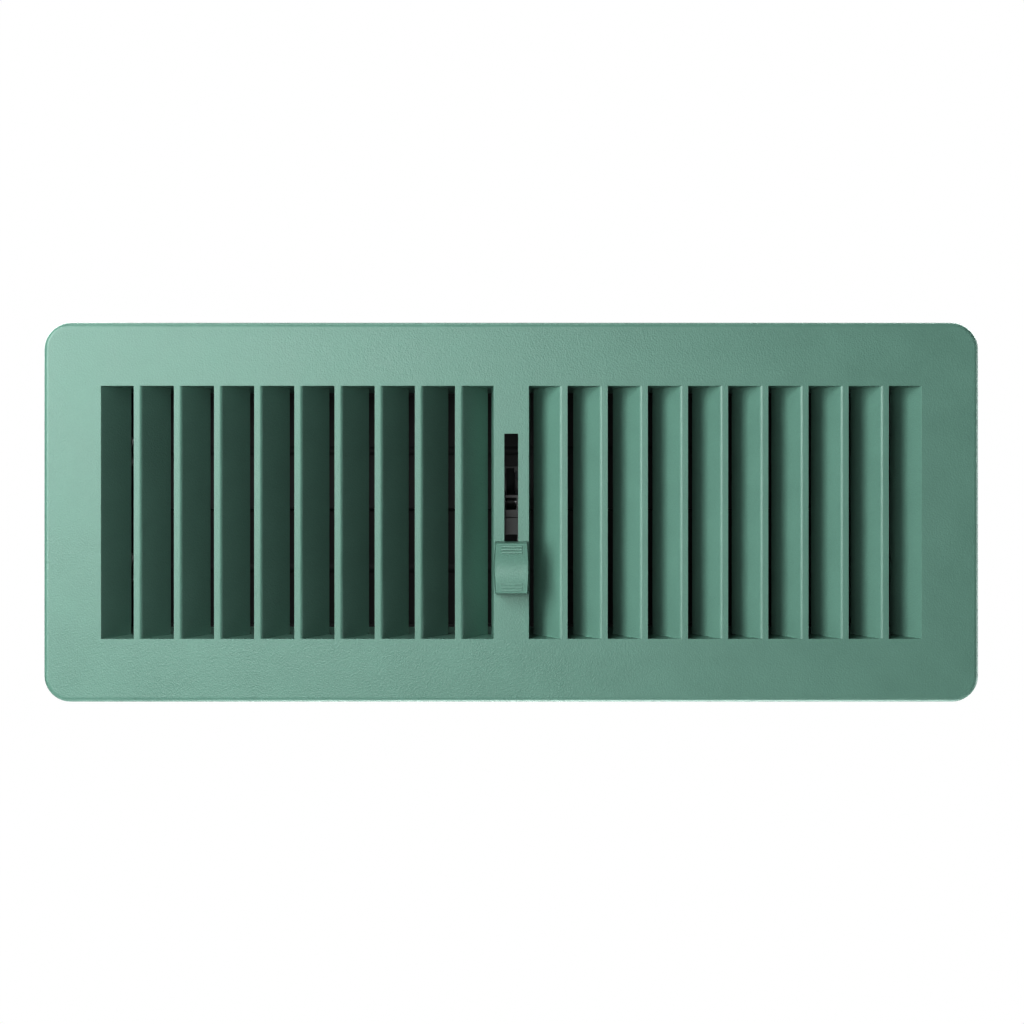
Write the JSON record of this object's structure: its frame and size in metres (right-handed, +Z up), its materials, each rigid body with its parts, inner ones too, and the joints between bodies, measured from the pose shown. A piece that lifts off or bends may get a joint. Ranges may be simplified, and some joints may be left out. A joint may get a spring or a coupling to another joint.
{
  "type": "louvred air grille",
  "caption": "Louvred wall or floor register with splayed slats, a thumb slide in the centre bar and geared damper blades behind.",
  "frame": {"origin": "centre of the neck, on the plane where the flange's rim seats on the wall or floor", "axes": "+X along the face; +Y into the duct, out of the flange's back; +Z up the face, the way the thumb slide opens the blades"},
  "size_m": [0.34, 0.0719, 0.138],
  "materials": {
    "grille_plastic": "fine moulded grain",
    "knob_plastic": "fine moulded grain",
    "damper_plastic": "satin black",
    "mechanism_plastic": "satin black",
    "bush_plastic": "self-lubricating",
    "gasket_foam": "closed-cell foam",
    "spring_steel": "bright",
    "pin_steel": "zinc plated",
    "rivet_steel": "black oxide"
  },
  "bodies": {
    "grille": {"face_grille": "grille_plastic", "flange_gasket": "gasket_foam", "mounting_clips": "spring_steel", "damper_frame": "damper_plastic", "pivot_bushes": "bush_plastic"},
    "slider": {"slide_knob": "knob_plastic", "slide_carriage": "mechanism_plastic", "friction_spring": "spring_steel"},
    "upper_damper": {"upper_blade": "damper_plastic", "upper_gear_sector": "mechanism_plastic", "upper_left_pin": "pin_steel", "upper_right_pin": "pin_steel", "drive_crank": "mechanism_plastic", "crank_rivets": "rivet_steel", "crank_pin": "pin_steel"},
    "lower_damper": {"lower_blade": "damper_plastic", "lower_gear_sector": "mechanism_plastic", "lower_left_pin": "pin_steel", "lower_right_pin": "pin_steel"}
  },
  "joints": [
    {"name": "knob_slide", "type": "slide", "parent": "grille", "child": "slider", "axis": [0, 0, 1], "range_m": [0, 0.038]},
    {"name": "upper_blade_hinge", "type": "hinge", "parent": "grille", "child": "upper_damper", "pos_m": [0, 0.034, 0.022], "axis": [-1, 0, 0], "range_deg": [0, 86]},
    {"name": "lower_blade_hinge", "type": "hinge", "parent": "grille", "child": "lower_damper", "pos_m": [0, 0.034, -0.022], "axis": [1, 0, 0], "range_deg": [0, 86]}
  ],
  "couplings": [
    {"joint": "upper_blade_hinge", "follows": "knob_slide", "rad_per_m": 39.49},
    {"joint": "lower_blade_hinge", "follows": "knob_slide", "rad_per_m": 39.49}
  ]
}
